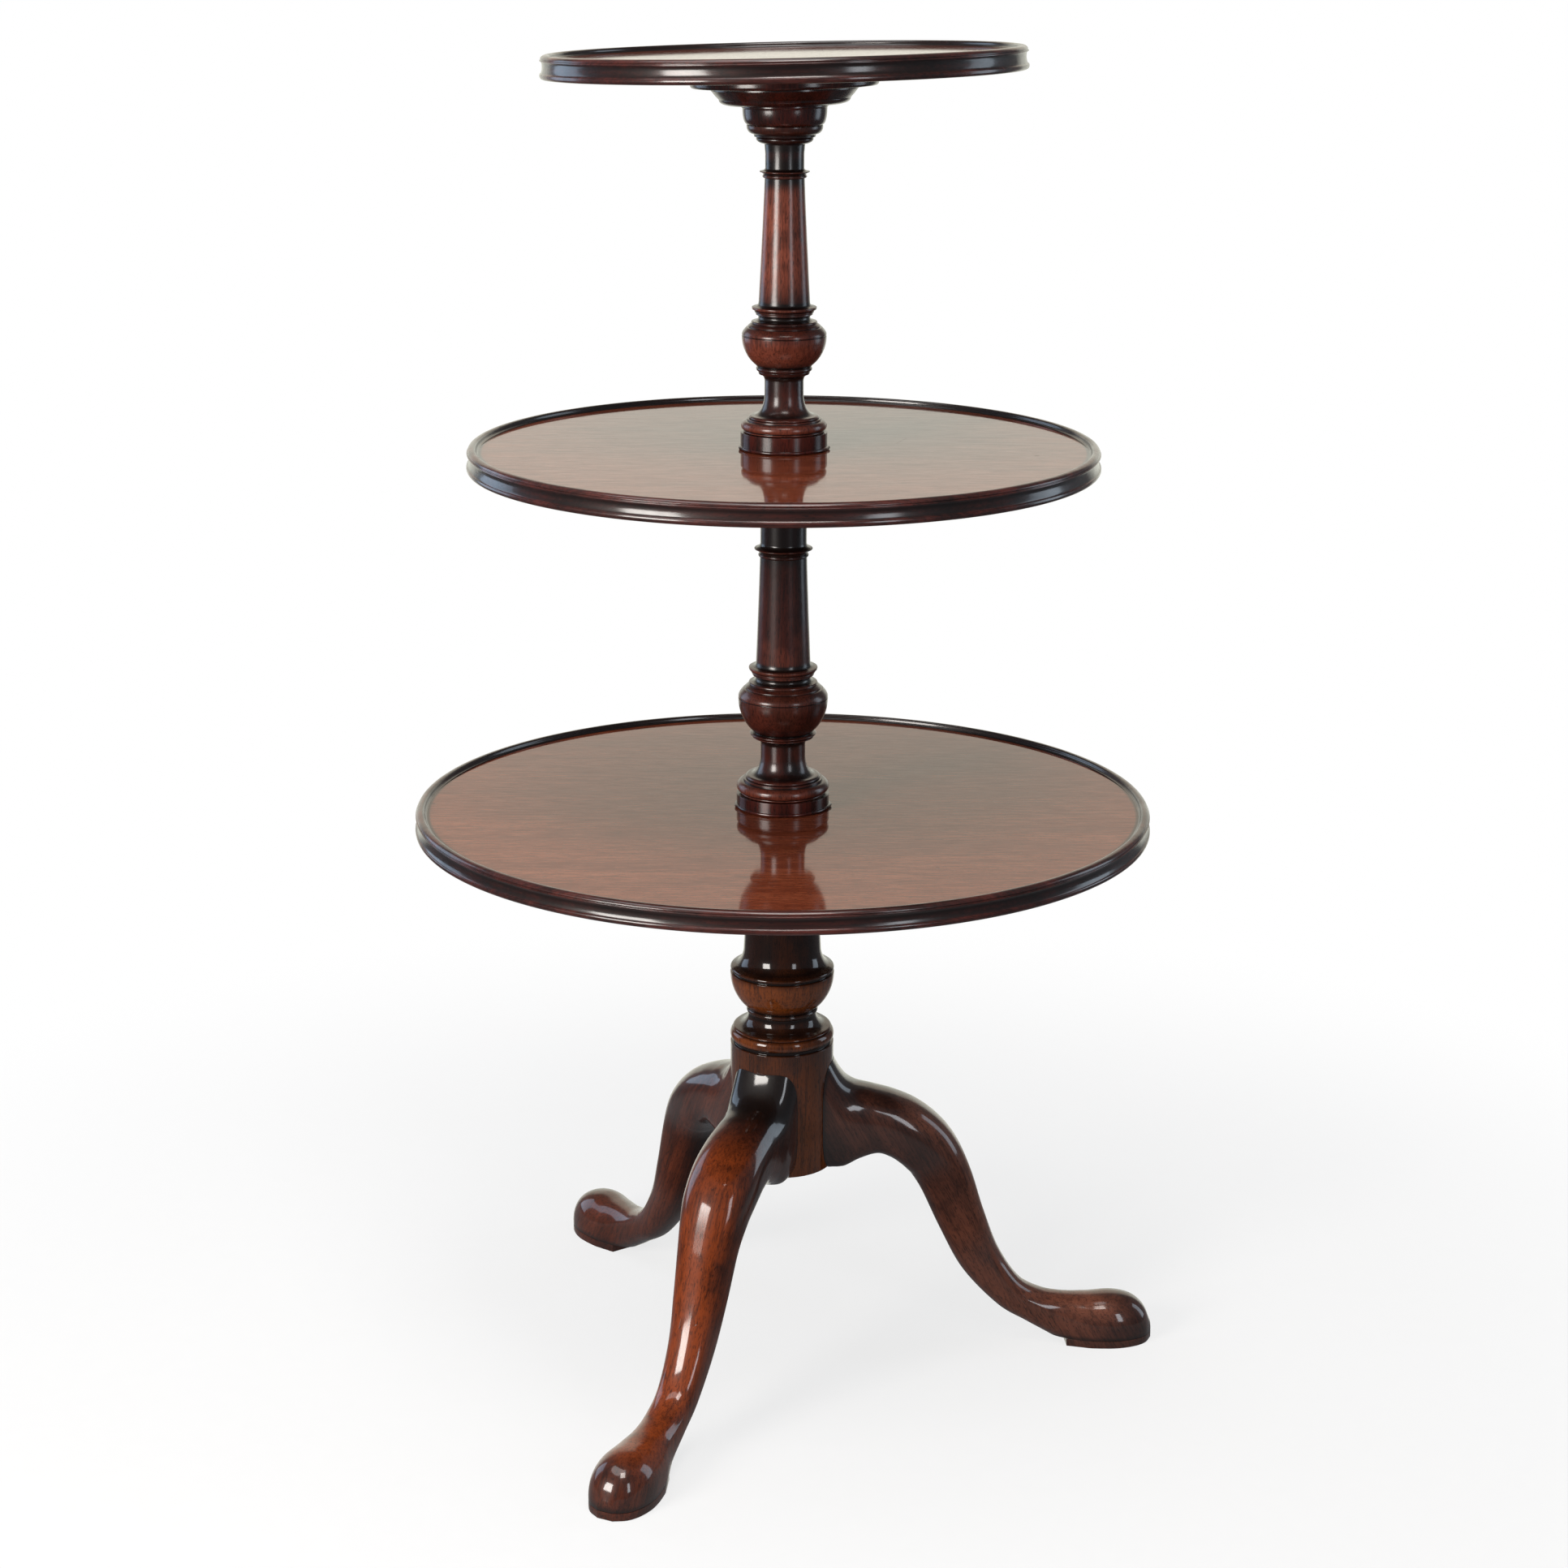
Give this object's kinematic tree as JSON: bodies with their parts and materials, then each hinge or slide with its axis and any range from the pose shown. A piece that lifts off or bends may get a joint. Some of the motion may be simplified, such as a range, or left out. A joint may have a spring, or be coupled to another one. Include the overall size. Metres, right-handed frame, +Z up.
{
  "type": "dumbwaiter table",
  "caption": "Mahogany dumbwaiter table: dished round trays, smallest at the top, turn on a turned column that stands on a tripod of curved legs with padded feet.",
  "frame": {"origin": "on the axis of the turned columns, at floor level", "axes": "+Z up along the columns. One leg points 15 degrees from +X towards +Y, and the others follow at every 120 degrees. The picture was taken from about 80 degrees clockwise of +X, seen from above."},
  "size_m": [0.6239, 0.624, 1.1177],
  "materials": {
    "mahogany_turned": "polished dark red-brown mahogany, nearly black in the grooves",
    "mahogany_leg": "polished mahogany, worn orange-brown on the high parts",
    "mahogany_tray": "glossy polished mahogany boards with straight grain",
    "leather": "dark worn leather",
    "iron": "dark oxidised wrought iron"
  },
  "bodies": {
    "base": {"pillar": "mahogany_turned", "leg_1": "mahogany_leg", "leg_2": "mahogany_leg", "leg_3": "mahogany_leg", "foot_pad_1": "mahogany_leg", "foot_pad_2": "mahogany_leg", "foot_pad_3": "mahogany_leg", "base_plate": "iron", "plate_leg_screw_1": "iron", "plate_leg_screw_2": "iron", "plate_leg_screw_3": "iron", "plate_pillar_screw_1": "iron", "plate_pillar_screw_2": "iron", "plate_pillar_screw_3": "iron", "middle_column": "mahogany_turned", "top_column": "mahogany_turned", "top_spindle": "iron", "bottom_washer": "leather", "middle_washer": "leather"},
    "bottom_tier": {"bottom_tray": "mahogany_tray", "bottom_collar": "mahogany_turned"},
    "middle_tier": {"middle_tray": "mahogany_tray", "middle_collar": "mahogany_turned"},
    "top_tier": {"top_tray": "mahogany_tray", "top_block": "mahogany_turned", "top_cup": "mahogany_turned", "block_screw_1": "iron", "block_screw_2": "iron", "block_screw_3": "iron", "block_screw_4": "iron"}
  },
  "joints": [
    {"name": "bottom_tray_turn", "type": "hinge", "parent": "base", "child": "bottom_tier", "pos_m": [0, 0, 0.4985], "axis": [0, 0, 1], "continuous": true},
    {"name": "middle_tray_turn", "type": "hinge", "parent": "base", "child": "middle_tier", "pos_m": [0, 0, 0.799], "axis": [0, 0, 1], "continuous": true},
    {"name": "top_tray_turn", "type": "hinge", "parent": "base", "child": "top_tier", "pos_m": [0, 0, 1.07], "axis": [0, 0, 1], "continuous": true}
  ]
}
